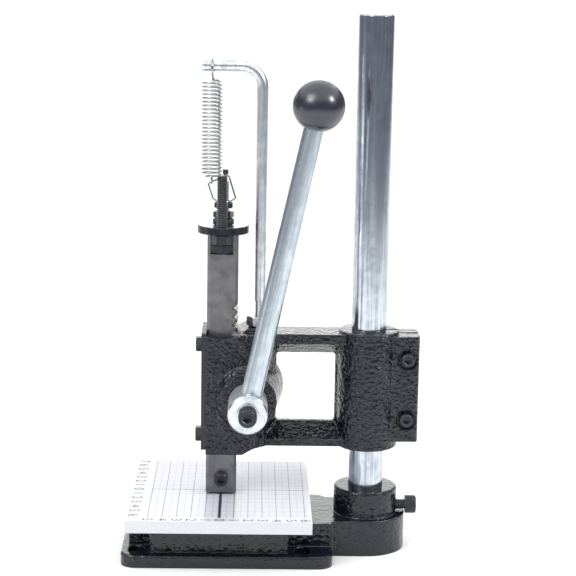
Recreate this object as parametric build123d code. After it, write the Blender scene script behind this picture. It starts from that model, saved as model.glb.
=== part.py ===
from build123d import *
import math
import os

# Arbor press on a round column: a hand lever turns a pinion that drives a square ram down on a cutting board.
# Millimetres. Origin on the bench, straight below the ram's axis. +X runs from the ram towards the column,
# +Y away from the operator, +Z up. The parts stand where they are with the ram just above the board.

# Base casting
FLANGE_X = (-70.0, 80.6)
FLANGE_HALF_Y = 57.5
FLANGE_THICKNESS = 9.0
FLANGE_CORNER = 11.0
TABLE_HALF = (49.5, 50.0)
TABLE_TOP = 31.0
LEDGE_X = (-65.0, 81.0)
LEDGE_HALF_Y = 34.5
LEDGE_TOP = 26.0
LEDGE_CHAMFER = 8.0
BLOCK_RADIUS = 29.0
SOCKET_BOSS_RADIUS = 23.0
SOCKET_BOSS_TOP = 45.5
SOCKET_FLOOR = 8.0
BOLT_SLOT = (59.0, 43.5)
BOLT_SLOT_SIZE = (16.0, 11.0)
RIB_HALF = 4.5
POCKET_ROUND = 4.0

# Cutting board
BOARD_X = (-65.0, 65.0)
BOARD_Y = (-73.3, 75.2)
BOARD_THICKNESS = 9.0

# Column
COLUMN_X = 105.8
COLUMN_RADIUS = 12.5
COLUMN_TOP = 387.0
COLUMN_FIT = 0.04
LOCK_SCREW_Z = 30.5
LOCK_SCREW_HEAD_X = 135.3
LOCK_SCREW_GAP = 0.2

# Ram, rack and pinion
RAM_HALF = 11.0
RAM_EDGE = 2.0
RAM_BOTTOM = 41.5
RAM_TOP = 231.5
SLIDE_FIT = 0.05
MODULE = 2.0
PINION_TEETH = 10
PRESSURE_ANGLE = 20.0
TOOTH_ROOT_DEPTH = 1.25 * MODULE
BACKLASH = 0.1
RACK_TOP_GAP_Z = 178.4
RACK_GAPS = 16
PITCH_RADIUS = MODULE * PINION_TEETH / 2
PINION_X = RAM_HALF - MODULE + PITCH_RADIUS
PINION_Z = 114.5
PINION_RADIUS = PITCH_RADIUS + MODULE
PINION_FIT = 0.05
GEAR_HALF_WIDTH = 11.1
END_WASHER_RADIUS = 16.0
END_WASHER_THICKNESS = 3.0
ROLL_STEPS = 17
ROLL_STEP_ANGLE = 3.5

# Die socket in the ram's foot
DIE_RADIUS = 5.0
DIE_DEPTH = 22.0
DIE_SCREW_Z = 52.5

# Head casting
HEAD_BOTTOM = 73.0
HEAD_TOP = 161.0
GUIDE_HALF_Y = 22.0
GUIDE_RIGHT = 32.0
GUIDE_CHAMFER = 8.0
SADDLE_DEPTH = 3.5
SADDLE_RADIUS = 29.7
ARM_HALF_Y = 13.5
GUIDE_FOOT_X = (15.0, 23.5)
ARM_BOTTOM = 77.8
ARM_TOP = 160.3
WINDOW_X = (39.4, 82.1)
WINDOW_Z = (92.6, 143.5)
WINDOW_LIP_Y = (3.5, 8.0)
WINDOW_FRONT_BEVEL = 10.5
WINDOW_BACK_BEVEL = 3.5
WINDOW_CORNER = 2.0
PINION_BOSS_RADIUS = 26.0
PINION_SKIRT_RADIUS = 24.5
PINION_SKIRT_Y = (-26.0, -21.5)
PINION_RING_RADIUS = 20.5
PINION_RING_ROOT = -27.0
PINION_RING_FRONT = -30.5
PINION_RING_BACK = 25.0
CLAMP_RADIUS = 22.0
CLAMP_BOTTOM = 76.0
CLAMP_TOP = 162.0
EAR_RIGHT = 141.8
EAR_HALF_Y = 14.5
EAR_Z = (82.0, 159.5)
EAR_EDGE = 3.0
SPLIT_WIDTH = 3.0
CLAMP_BOLT_X = 133.2
CLAMP_BOLT_Z = (98.3, 142.7)
SPOT_FACE_RADIUS = 7.3
SPOT_FACE_DEPTH = 3.0

# Guide plate on the open side of the head
PLATE_THICKNESS = 3.45
PLATE_HALF_Y = 21.0
PLATE_Z = (76.0, 161.5)
PLATE_BOLT_Y = 16.5
PLATE_BOLT_Z = (87.5, 153.5)

# Lever
HUB_RADIUS = 13.8
HUB_WASHER_RADIUS = 7.8
HUB_Y = (-67.0, -30.8)
NECK_RADIUS = 7.0
KEY_WIDTH = 4.0
LEVER_Y = -53.0
LEVER_ANGLE = 12.1
LEVER_LENGTH = 217.0
LEVER_SEAT = 8.2
LEVER_RADIUS_LOW = 7.5
LEVER_RADIUS_HIGH = 6.8
BALL_RADIUS = 17.75
BALL_FLAT = 16.0

# Stop disc, posts and spring
DISC_RADIUS = 18.3
DISC_THICKNESS = 5.5
POST_TOP = 267.8
POST_TIP_X = 1.2
POST_TIP_Z = (273.0, 276.6)
POST_NECK_RADIUS = 1.1
POST_TIP_RADIUS = 2.3
STOP_BOLT_X = -0.8
STOP_BOLT_Y = -13.0
STOP_BOLT_TOP = 273.7
STOP_NUT_HEIGHT = 6.7
SPRING_NUT_BOTTOM = 249.2
SPRING_NUT_HEIGHT = 4.0
HANGER_X = 26.8
HANGER_FOOT = 147.5
HANGER_TIP_X = -15.7
HANGER_TOP_Z = 349.5
HANGER_RADIUS = 4.0
HANGER_BEND = 15.0
HANGER_PAD_X = (11.05, 38.0)
HANGER_PAD_Y = (-13.0, 22.0)
HANGER_BOSS_TOP = 163.8
HANGER_NUT_HEIGHT = 7.4
HANGER_NUT_FLATS = 16.5
SPRING_X = -8.7
SPRING_RADIUS = 6.7
SPRING_Z = (271.4, 339.4)
SPRING_TURNS = 26
LOWER_HOOK_Z = 268.9
LOWER_HOOK_RADIUS = 2.85
UPPER_HOOK_Z = 348.2
UPPER_HOOK_RADIUS = 6.0
WIRE_RADIUS = 0.6
LINK_Y = 1.9

# Metric fasteners: thread radius, head radius or width across flats, head height, hex key size
M6_RADIUS = 3.0
M6_SOCKET = (5.0, 6.0, 5.0)
M6_HEX = (10.0, 4.0)
M6_COUNTERSUNK = (5.8, 2.8, 4.0)
M8_RADIUS = 4.0
M8_SOCKET = (6.5, 8.0, 6.0)
M8_HEX = (13.0, 5.3)
THREAD_FIT = 0.05

MIN_CORNER = (Align.MIN, Align.MIN, Align.MIN)
FOOT = (Align.CENTER, Align.CENTER, Align.MIN)


def brick(x, y, z):
    """Box from three (low, high) pairs."""
    return Pos(x[0], y[0], z[0]) * Box(x[1] - x[0], y[1] - y[0], z[1] - z[0], align=MIN_CORNER)


def along_z(radius, z, x=0.0, y=0.0):
    return Pos(x, y, z[0]) * Cylinder(radius, z[1] - z[0], align=FOOT)


def along_y(radius, y, x, z):
    return Pos(x, y[0], z) * Rot(-90, 0, 0) * Cylinder(radius, y[1] - y[0], align=FOOT)


def along_x(radius, x, y, z):
    return Pos(x[0], y, z) * Rot(0, 90, 0) * Cylinder(radius, x[1] - x[0], align=FOOT)


def hexagon(across_flats, height, turn=0.0):
    """Upright hexagonal prism standing on the XY plane, corners along X when turn is 0."""
    outline = Rot(0, 0, turn) * RegularPolygon(across_flats / math.sqrt(3), 6)
    prism = extrude(outline, height)
    bevel = 0.12 * across_flats
    cone = Cone(across_flats / 2 + 3 * bevel, across_flats / 2, bevel * 1.5, align=FOOT)
    return prism & (along_z(across_flats, (0, height - bevel * 0.5)) + Pos(0, 0, height - bevel * 1.5) * cone)


def hex_nut(across_flats, height, thread_radius, turn=0.0):
    return hexagon(across_flats, height, turn) - along_z(thread_radius + THREAD_FIT, (-1, height + 1))


def socket_screw(thread_radius, head, shank_length):
    """Socket-head screw: shank down along -Z, underside of the head at Z = 0."""
    head_radius, head_height, key_size = head
    cap = along_z(head_radius, (0, head_height))
    cap = chamfer(cap.edges().group_by(Axis.Z)[-1], 0.5)
    cap -= Pos(0, 0, head_height * 0.45) * extrude(RegularPolygon(key_size / math.sqrt(3), 6), head_height)
    shank = along_z(thread_radius, (-shank_length, 0))
    shank = chamfer(shank.edges().group_by(Axis.Z)[0], 0.6)
    return cap + shank


def hex_bolt(thread_radius, head, shank_length):
    """Hex-head bolt: shank down along -Z, underside of the head at Z = 0."""
    across_flats, head_height = head
    return hexagon(across_flats, head_height) + along_z(thread_radius, (-shank_length, 0))


def towards_front(part, x, y, z):
    """Turn a fastener so that its head faces -Y, with the underside of the head at y."""
    return Pos(x, y, z) * Rot(90, 0, 0) * part


def base_casting():
    flange_length = FLANGE_X[1] - FLANGE_X[0]
    outline = Pos(sum(FLANGE_X) / 2, 0) * RectangleRounded(flange_length, 2 * FLANGE_HALF_Y, FLANGE_CORNER)
    flange = extrude(outline, FLANGE_THICKNESS)
    flange = fillet(flange.edges().group_by(Axis.Z)[-1], 1.5)
    table = brick((-TABLE_HALF[0], TABLE_HALF[0]), (-TABLE_HALF[1], TABLE_HALF[1]), (0, TABLE_TOP))
    table = fillet(table.edges().filter_by(Axis.Z), 2.5)
    ledge = brick(LEDGE_X, (-LEDGE_HALF_Y, LEDGE_HALF_Y), (0, LEDGE_TOP))
    far_corner = ledge.edges().filter_by(Axis.Z).sort_by(Axis.X)[-2:].sort_by(Axis.Y)[-1]
    ledge = chamfer(far_corner, LEDGE_CHAMFER)
    block = brick((TABLE_HALF[0], COLUMN_X), (-BLOCK_RADIUS, BLOCK_RADIUS), (0, LEDGE_TOP))
    block += along_z(BLOCK_RADIUS, (0, LEDGE_TOP), COLUMN_X)
    boss = along_z(SOCKET_BOSS_RADIUS, (0, SOCKET_BOSS_TOP), COLUMN_X)
    boss = fillet(boss.edges().group_by(Axis.Z)[-1], 1.5)
    casting = flange + table + ledge + block + boss
    casting -= along_z(COLUMN_RADIUS + COLUMN_FIT, (SOCKET_FLOOR, SOCKET_BOSS_TOP + 1), COLUMN_X)
    casting -= along_x(M8_RADIUS + THREAD_FIT, (COLUMN_X + 5, COLUMN_X + 30), 0, LOCK_SCREW_Z)
    for pocket in underside_pockets():
        casting -= pocket
    for side_x in (-1, 1):
        for side_y in (-1, 1):
            slot = Rot(0, 0, 90) * SlotOverall(*BOLT_SLOT_SIZE)
            place = Pos(side_x * BOLT_SLOT[0], side_y * BOLT_SLOT[1], -1)
            casting -= place * extrude(slot, FLANGE_THICKNESS + 2)
    return casting


def underside_pockets():
    """Hollows under the table and ledges, with a cross of ribs left on the two centre lines."""
    spans = [
        ((RIB_HALF, 41.0), (RIB_HALF, 41.0), TABLE_TOP - 8),
        ((-41.0, -RIB_HALF), (RIB_HALF, 41.0), TABLE_TOP - 8),
        ((47.5, 75.0), (RIB_HALF, 27.0), LEDGE_TOP - 8),
        ((-59.0, -47.5), (RIB_HALF, 27.0), LEDGE_TOP - 8),
    ]
    pockets = []
    for x, y, roof in spans:
        for side in (-1, 1):
            near, far = sorted((side * y[0], side * y[1]))
            pocket = brick(x, (near, far), (-1, roof))
            pockets.append(fillet(pocket.edges().filter_by(Axis.Z), POCKET_ROUND))
    return pockets


def cutting_board():
    board = brick(BOARD_X, BOARD_Y, (TABLE_TOP, TABLE_TOP + BOARD_THICKNESS))
    return fillet(board.edges(), 0.4)


def column():
    bar = along_z(COLUMN_RADIUS, (SOCKET_FLOOR, COLUMN_TOP), COLUMN_X)
    return chamfer(bar.edges().group_by(Axis.Z)[-1] + bar.edges().group_by(Axis.Z)[0], 1.0)


def column_lock_screw():
    shank = LOCK_SCREW_HEAD_X - COLUMN_X - COLUMN_RADIUS - LOCK_SCREW_GAP
    return Pos(LOCK_SCREW_HEAD_X, 0, LOCK_SCREW_Z) * Rot(0, 90, 0) * socket_screw(M8_RADIUS, M8_SOCKET, shank)


def window_cutter():
    """Opening with a narrow lip towards the back and sloping sides from the lip to both faces."""
    overrun = 1.0
    cutter = brick(WINDOW_X, WINDOW_LIP_Y, WINDOW_Z)
    cutter = fillet(cutter.edges().filter_by(Axis.Y), WINDOW_CORNER)
    front = window_slope(WINDOW_LIP_Y[0], -ARM_HALF_Y - overrun, WINDOW_FRONT_BEVEL)
    back = window_slope(WINDOW_LIP_Y[1], ARM_HALF_Y + overrun, WINDOW_BACK_BEVEL)
    return cutter + front + back


def window_slope(lip_y, face_y, bevel):
    """The opening between the lip and one face, wider by bevel on every side at the face."""
    centre_x = sum(WINDOW_X) / 2
    centre_z = sum(WINDOW_Z) / 2
    sections = []
    for y, grow in ((lip_y, 0), (face_y, 2 * bevel)):
        plane = Plane((centre_x, y, centre_z), (1, 0, 0), (0, -1, 0))
        width = WINDOW_X[1] - WINDOW_X[0] + grow
        height = WINDOW_Z[1] - WINDOW_Z[0] + grow
        sections.append(plane * RectangleRounded(width, height, WINDOW_CORNER))
    return loft(sections)


def head_casting():
    profile = Polygon(
        (-RAM_HALF - SLIDE_FIT, HEAD_BOTTOM),
        (GUIDE_FOOT_X[0], HEAD_BOTTOM),
        (GUIDE_FOOT_X[1], ARM_BOTTOM),
        (GUIDE_RIGHT, ARM_BOTTOM),
        (GUIDE_RIGHT, HEAD_TOP),
        (-RAM_HALF - SLIDE_FIT, HEAD_TOP),
        align=None,
    )
    front = Plane((0, GUIDE_HALF_Y, 0), (1, 0, 0), (0, -1, 0))
    guide = extrude(front * profile, 2 * GUIDE_HALF_Y)
    right_edges = guide.edges().filter_by(Axis.Z).sort_by(Axis.X)[-2:]
    guide = chamfer(right_edges, GUIDE_CHAMFER)
    arm = brick((PINION_X, COLUMN_X), (-ARM_HALF_Y, ARM_HALF_Y), (ARM_BOTTOM, ARM_TOP)) - window_cutter()
    boss = towards_back(PINION_RING_RADIUS, PINION_BOSS_RADIUS, (PINION_RING_ROOT, GUIDE_HALF_Y))
    boss += towards_back(PINION_RING_RADIUS, PINION_SKIRT_RADIUS, PINION_SKIRT_Y) & guide_side()
    boss += along_y(PINION_RING_RADIUS, (PINION_RING_FRONT, PINION_RING_BACK), PINION_X, PINION_Z)
    clamp = along_z(CLAMP_RADIUS, (CLAMP_BOTTOM, CLAMP_TOP), COLUMN_X)
    clamp = fillet(clamp.edges().group_by(Axis.Z)[-1] + clamp.edges().group_by(Axis.Z)[0], 1.5)
    ears = brick((COLUMN_X + 4, EAR_RIGHT), (-EAR_HALF_Y, EAR_HALF_Y), EAR_Z)
    ears = fillet(ears.edges().filter_by(Axis.Z).sort_by(Axis.X)[-2:], EAR_EDGE)
    pad = brick(HANGER_PAD_X, HANGER_PAD_Y, (ARM_TOP - 10, HANGER_BOSS_TOP))
    pad = fillet(pad.edges().filter_by(Axis.Z).group_by(Axis.X)[-1], 5.0)
    pad = fillet(pad.edges().group_by(Axis.Z)[-1], 1.5)
    casting = guide + arm + boss + clamp + ears + pad
    return casting - head_cuts()


def towards_back(front_radius, back_radius, y):
    """Cone on the pinion's axis, wider at the back."""
    cone = Cone(front_radius, back_radius, y[1] - y[0], align=FOOT)
    return Pos(PINION_X, y[0], PINION_Z) * Rot(-90, 0, 0) * cone


def guide_side():
    """The space in front of the guide block's flat face."""
    return brick((-RAM_HALF, GUIDE_RIGHT - GUIDE_CHAMFER), (-2 * GUIDE_HALF_Y, 0), (HEAD_BOTTOM, HEAD_TOP))


def head_cuts():
    """Everything that is machined out of the head."""
    reach = 40.0
    channel_half = RAM_HALF + SLIDE_FIT
    cuts = brick((-reach, channel_half), (-channel_half, channel_half), (HEAD_BOTTOM - 1, HEAD_TOP + 9))
    cuts += along_y(SADDLE_RADIUS, (-reach, reach), 0, HEAD_TOP - SADDLE_DEPTH + SADDLE_RADIUS)
    cuts += along_y(PINION_RADIUS + PINION_FIT, (-reach, reach), PINION_X, PINION_Z)
    cuts += along_z(COLUMN_RADIUS + COLUMN_FIT, (CLAMP_BOTTOM - 1, CLAMP_TOP + 1), COLUMN_X)
    half_split = SPLIT_WIDTH / 2
    cuts += brick((COLUMN_X, EAR_RIGHT + 1), (-half_split, half_split), (CLAMP_BOTTOM - 1, CLAMP_TOP + 1))
    cuts += along_z(HANGER_RADIUS + THREAD_FIT, (HANGER_FOOT - 0.5, HANGER_BOSS_TOP + 1), HANGER_X)
    for z in CLAMP_BOLT_Z:
        cuts += along_y(M6_RADIUS + THREAD_FIT, (-reach, reach), CLAMP_BOLT_X, z)
        cuts += along_y(SPOT_FACE_RADIUS, (-reach, SPOT_FACE_DEPTH - EAR_HALF_Y), CLAMP_BOLT_X, z)
    for y, z in plate_bolt_places(-1) + plate_bolt_places(1):
        cuts += along_x(M6_RADIUS + THREAD_FIT, (-reach, 3.5), y, z)
    return cuts


def plate_bolt_places(side):
    """(y, z) of the guide plate's two fasteners on one side: -1 is the front, 1 the back."""
    return [(side * PLATE_BOLT_Y, z) for z in PLATE_BOLT_Z]


def guide_plate():
    inner = -RAM_HALF - SLIDE_FIT
    plate = brick((inner - PLATE_THICKNESS, inner), (-PLATE_HALF_Y, PLATE_HALF_Y), PLATE_Z)
    plate = fillet(plate.edges().filter_by(Axis.X), 1.5)
    for y, z in plate_bolt_places(-1):
        plate -= along_x(M6_RADIUS + 0.2, (-30, 0), y, z)
    for y, z in plate_bolt_places(1):
        plate -= Pos(inner - PLATE_THICKNESS, y, z) * Rot(0, -90, 0) * countersunk_screw(0.05)
    return plate


def countersunk_screw(margin):
    """M6 countersunk screw, shank down along -Z, with the top of its head at Z = 0."""
    head_radius, head_depth, _ = M6_COUNTERSUNK
    head = Pos(0, 0, -head_depth) * Cone(M6_RADIUS + margin, head_radius + margin, head_depth, align=FOOT)
    return head + along_z(M6_RADIUS + margin, (-14.0 - 5 * margin, 0))


def rear_plate_screws():
    """The guide plate's two flush screws at the back."""
    _, _, key_size = M6_COUNTERSUNK
    socket = extrude(RegularPolygon(key_size / math.sqrt(3), 6), -2.0)
    screw = Rot(0, -90, 0) * (countersunk_screw(0) - socket)
    face = -RAM_HALF - SLIDE_FIT - PLATE_THICKNESS
    return Compound(children=[Pos(face, y, z) * screw for y, z in plate_bolt_places(1)])


def guide_plate_bolts():
    bolt = hex_bolt(M6_RADIUS, M6_HEX, 16.0)
    seat = -RAM_HALF - SLIDE_FIT - PLATE_THICKNESS
    return Compound(children=[Pos(seat, y, z) * Rot(0, -90, 0) * bolt for y, z in plate_bolt_places(-1)])


def clamp_bolts():
    seat = SPOT_FACE_DEPTH - EAR_HALF_Y
    bolt = socket_screw(M6_RADIUS, M6_SOCKET, 25.0)
    return Compound(children=[towards_front(bolt, CLAMP_BOLT_X, seat, z) for z in CLAMP_BOLT_Z])


def rack_outline(tip_extra, widen):
    """One rack tooth seen along Y, pointing to +X: its pitch line is at X = 0 and its middle at Z = 0."""
    slope = math.tan(math.radians(PRESSURE_ANGLE))
    half = math.pi * MODULE / 4 + widen
    tip = MODULE + tip_extra
    root = TOOTH_ROOT_DEPTH
    return Polygon(
        (tip, half - tip * slope),
        (-root, half + root * slope),
        (-root, -half - root * slope),
        (tip, -half + tip * slope),
        align=None,
    )


def pinion_shaft():
    """Shaft with its teeth cut by rolling a rack tooth past the blank, as a gear cutter does."""
    journal = along_y(PINION_RADIUS, (HUB_Y[1], PINION_RING_BACK + 0.2), 0, 0)
    tooth = rack_outline(TOOTH_ROOT_DEPTH - MODULE, BACKLASH)
    positions = []
    for step in range(-ROLL_STEPS, ROLL_STEPS + 1):
        roll = step * ROLL_STEP_ANGLE
        shift = -PITCH_RADIUS * math.radians(roll)
        positions.append(Rot(0, 0, -roll) * Pos(-PITCH_RADIUS, shift) * tooth)
    gap = positions[0].fuse(*positions[1:])
    side = Plane((0, GEAR_HALF_WIDTH, 0), (1, 0, 0), (0, -1, 0))
    cutter = extrude(side * gap, 2 * GEAR_HALF_WIDTH)
    phase = rack_phase_turn()
    for index in range(PINION_TEETH):
        journal -= Rot(0, phase + index * 360 / PINION_TEETH, 0) * cutter
    neck = along_y(NECK_RADIUS, (HUB_Y[0] + 1.5, HUB_Y[1]), 0, 0)
    neck -= along_y(M8_RADIUS + THREAD_FIT, (HUB_Y[0], HUB_Y[0] + 22), 0, 0)
    neck -= hub_key_shape(0.02)
    journal -= along_y(M8_RADIUS + THREAD_FIT, (PINION_RING_BACK - 14, PINION_RING_BACK + 5), 0, 0)
    return Pos(PINION_X, 0, PINION_Z) * (journal + neck)


def rack_phase_turn():
    """Angle about Y that puts a pinion gap opposite the rack tooth nearest to the pinion's axis."""
    pitch = math.pi * MODULE
    tooth_z = RACK_TOP_GAP_Z - pitch / 2
    offset = (tooth_z - PINION_Z) % pitch
    return math.degrees(offset / PITCH_RADIUS)


def hub_key_shape(margin):
    half = KEY_WIDTH / 2 + margin
    return brick((-half, half), (-62.0, -36.0), (-NECK_RADIUS - 1.8 - margin, -NECK_RADIUS + 2.0 + margin))


def hub_key():
    return Pos(PINION_X, 0, PINION_Z) * hub_key_shape(0)


def pinion_end_washer():
    y = PINION_RING_BACK + 0.2
    washer = along_y(END_WASHER_RADIUS, (y, y + END_WASHER_THICKNESS), PINION_X, PINION_Z)
    return washer - along_y(M8_RADIUS + 0.4, (y - 1, y + 4), PINION_X, PINION_Z)


def pinion_end_screw():
    y = PINION_RING_BACK + 0.2 + END_WASHER_THICKNESS
    return Pos(PINION_X, y, PINION_Z) * Rot(-90, 0, 0) * hex_bolt(M8_RADIUS, M8_HEX, 14.0)


def on_lever(part):
    """Place a part made along +Z from the pinion's axis on the lever's line."""
    return Pos(PINION_X, LEVER_Y, PINION_Z) * Rot(0, LEVER_ANGLE, 0) * part


def lever_hub():
    hub = along_y(HUB_RADIUS, HUB_Y, PINION_X, PINION_Z)
    hub = chamfer(hub.edges().group_by(Axis.Y)[0] + hub.edges().group_by(Axis.Y)[-1], 0.8)
    hub -= along_y(NECK_RADIUS + 0.03, (HUB_Y[0] - 1, HUB_Y[1] + 1), PINION_X, PINION_Z)
    hub -= Pos(PINION_X, 0, PINION_Z) * hub_key_shape(0.02)
    return hub - on_lever(along_z(LEVER_RADIUS_LOW + 0.03, (LEVER_SEAT - 0.1, 30)))


def hub_washer():
    washer = along_y(HUB_WASHER_RADIUS, (HUB_Y[0] - 2, HUB_Y[0]), PINION_X, PINION_Z)
    return washer - along_y(M8_RADIUS + 0.2, (HUB_Y[0] - 3, HUB_Y[0] + 1), PINION_X, PINION_Z)


def hub_screw():
    return towards_front(socket_screw(M8_RADIUS, M8_SOCKET, 20.0), PINION_X, HUB_Y[0] - 2, PINION_Z)


def lever_rod():
    shoulder = LEVER_LENGTH - BALL_FLAT
    taper = Cone(LEVER_RADIUS_LOW, LEVER_RADIUS_HIGH, shoulder - LEVER_SEAT, align=FOOT)
    rod = Pos(0, 0, LEVER_SEAT) * taper + along_z(5.0, (shoulder, LEVER_LENGTH - 2))
    return on_lever(rod)


def ball_knob():
    ball = Pos(0, 0, LEVER_LENGTH) * Sphere(BALL_RADIUS)
    ball -= along_z(BALL_RADIUS, (0, LEVER_LENGTH - BALL_FLAT))
    ball -= along_z(5.0 + THREAD_FIT, (0, LEVER_LENGTH - 1.5))
    return on_lever(ball)


def ram():
    bar = brick((-RAM_HALF, RAM_HALF), (-RAM_HALF, RAM_HALF), (RAM_BOTTOM, RAM_TOP))
    bar = chamfer(bar.edges().filter_by(Axis.Z), RAM_EDGE)
    side = Plane((0, RAM_HALF + 1, 0), (1, 0, 0), (0, -1, 0))
    gap = side * (Pos(RAM_HALF - MODULE, 0) * Rot(0, 0, 180) * rack_outline(TOOTH_ROOT_DEPTH - MODULE, 0))
    cutter = extrude(gap, 2 * RAM_HALF + 2)
    for index in range(RACK_GAPS):
        bar -= Pos(0, 0, RACK_TOP_GAP_Z - index * math.pi * MODULE) * cutter
    pocket_x = (STOP_BOLT_X - 8.0, STOP_BOLT_X + 8.0)
    bar -= brick(pocket_x, (-RAM_HALF - 1, STOP_BOLT_Y + 7.7), (stop_head_bottom() - 2, RAM_TOP + 1))
    bar -= along_z(M8_RADIUS + THREAD_FIT, (RAM_TOP - 18, RAM_TOP + 1))
    bar -= along_z(DIE_RADIUS, (RAM_BOTTOM - 1, RAM_BOTTOM + DIE_DEPTH))
    return bar - along_y(M6_RADIUS + THREAD_FIT, (-RAM_HALF - 1, 0), 0, DIE_SCREW_Z)


def die_clamp_screw():
    return towards_front(socket_screw(M6_RADIUS, M6_SOCKET, 6.0), 0, -RAM_HALF - 0.4, DIE_SCREW_Z)


def stop_disc():
    disc = along_z(DISC_RADIUS, (RAM_TOP, RAM_TOP + DISC_THICKNESS))
    disc = chamfer(disc.edges(), 0.4)
    disc -= along_z(M8_RADIUS + THREAD_FIT, (RAM_TOP - 1, RAM_TOP + 9))
    return disc - along_z(M8_RADIUS + THREAD_FIT, (RAM_TOP - 1, RAM_TOP + 9), STOP_BOLT_X, STOP_BOLT_Y)


def stop_head_bottom():
    return RAM_TOP - STOP_NUT_HEIGHT - 0.4 - M8_HEX[1]


def stop_bolt():
    head_top = stop_head_bottom() + M8_HEX[1]
    bolt = hex_bolt(M8_RADIUS, M8_HEX, STOP_BOLT_TOP - head_top)
    return Pos(STOP_BOLT_X, STOP_BOLT_Y, head_top) * Rot(180, 0, 0) * Rot(0, 0, 30) * bolt


def stop_lock_nut():
    nut = hex_nut(M8_HEX[0], STOP_NUT_HEIGHT, M8_RADIUS)
    return Pos(STOP_BOLT_X, STOP_BOLT_Y, RAM_TOP - STOP_NUT_HEIGHT - 0.1) * nut


def centre_post():
    """M8 stud with a thin neck and a small knurled tip that holds the spring link."""
    post = along_z(M8_RADIUS, (RAM_TOP - 17, POST_TOP))
    post += along_z(POST_NECK_RADIUS, (POST_TOP, POST_TIP_Z[1]), POST_TIP_X)
    return post + along_z(POST_TIP_RADIUS, POST_TIP_Z, POST_TIP_X)


def post_nuts():
    seat = RAM_TOP + DISC_THICKNESS
    nut = hex_nut(M8_HEX[0], 4.8, M8_RADIUS)
    return Compound(children=[Pos(0, 0, seat) * nut, Pos(0, 0, seat + 5.0) * Rot(0, 0, 12) * nut])


def spring_nut():
    return Pos(0, 0, SPRING_NUT_BOTTOM) * hex_nut(M8_HEX[0], SPRING_NUT_HEIGHT, M8_RADIUS, 30)


def wire(points, bend):
    path = FilletPolyline(*points, radius=bend)
    return sweep(Plane(path @ 0, z_dir=path % 0) * Circle(WIRE_RADIUS), path)


def spring_link():
    """Wire bail: an eye gripping the post's thread above the spring nut, and a bar behind the post's neck."""
    eye_z = SPRING_NUT_BOTTOM + SPRING_NUT_HEIGHT + WIRE_RADIUS + 0.1
    eye_radius = M8_RADIUS + WIRE_RADIUS + 0.25
    points = [
        (-eye_radius, 0, eye_z),
        (-7.5, 0, eye_z + 1.6),
        (-11.3, LINK_Y, 266.3),
        (3.4, LINK_Y, 272.2),
        (8.6, 0, eye_z + 1.9),
        (eye_radius, 0, eye_z),
    ]
    return wire(points, 1.5) + Pos(0, 0, eye_z) * Torus(eye_radius, WIRE_RADIUS)


def hanger_rod():
    """Round bar screwed into the head and bent over the ram to carry the spring."""
    points = [(HANGER_X, 0, HANGER_FOOT), (HANGER_X, 0, HANGER_TOP_Z), (HANGER_TIP_X, 0, HANGER_TOP_Z)]
    path = FilletPolyline(*points, radius=HANGER_BEND)
    return sweep(Pos(HANGER_X, 0, HANGER_FOOT) * Circle(HANGER_RADIUS), path)


def hanger_lock_nut():
    return Pos(HANGER_X, 0, HANGER_BOSS_TOP) * hex_nut(HANGER_NUT_FLATS, HANGER_NUT_HEIGHT, HANGER_RADIUS)


def return_spring():
    """Extension spring with a full hook at each end, stretched between the hanger and the link."""
    height = SPRING_Z[1] - SPRING_Z[0]
    helix = Helix(height / SPRING_TURNS, height, SPRING_RADIUS)
    coils = sweep(Plane(helix @ 0, z_dir=helix % 0) * Circle(WIRE_RADIUS), helix, is_frenet=True)
    start_x = SPRING_X + SPRING_RADIUS
    hooks = [(LOWER_HOOK_Z, LOWER_HOOK_RADIUS, LINK_Y, 1), (UPPER_HOOK_Z, UPPER_HOOK_RADIUS, 0, -1)]
    pieces = []
    for end_z, (hook_z, hook_radius, hook_y, side) in zip(SPRING_Z, hooks):
        hook_end = (SPRING_X, hook_y, hook_z + side * hook_radius)
        pieces.append(Pos(start_x, 0, end_z) * Sphere(1.2 * WIRE_RADIUS))
        pieces.append(strut((start_x, 0, end_z), hook_end))
        pieces.append(Pos(SPRING_X, hook_y, hook_z) * Rot(0, 90, 0) * Torus(hook_radius, WIRE_RADIUS))
    return (Pos(SPRING_X, 0, SPRING_Z[0]) * coils).fuse(*pieces)


def strut(start, end):
    line = Line(start, end)
    return sweep(Plane(start, z_dir=line % 0) * Circle(WIRE_RADIUS), line)


NODES = [
    base_casting,
    cutting_board,
    column,
    column_lock_screw,
    head_casting,
    clamp_bolts,
    guide_plate,
    guide_plate_bolts,
    rear_plate_screws,
    hanger_rod,
    hanger_lock_nut,
    pinion_shaft,
    pinion_end_washer,
    pinion_end_screw,
    lever_hub,
    hub_key,
    hub_washer,
    hub_screw,
    lever_rod,
    ball_knob,
    ram,
    die_clamp_screw,
    stop_disc,
    stop_bolt,
    stop_lock_nut,
    centre_post,
    post_nuts,
    spring_nut,
    spring_link,
    return_spring,
]

os.makedirs("parts", exist_ok=True)
for make in NODES:
    export_step(make(), os.path.join("parts", make.__name__ + ".step"))
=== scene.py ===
import math
import random

import bpy
from mathutils import Matrix, Vector, noise


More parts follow.
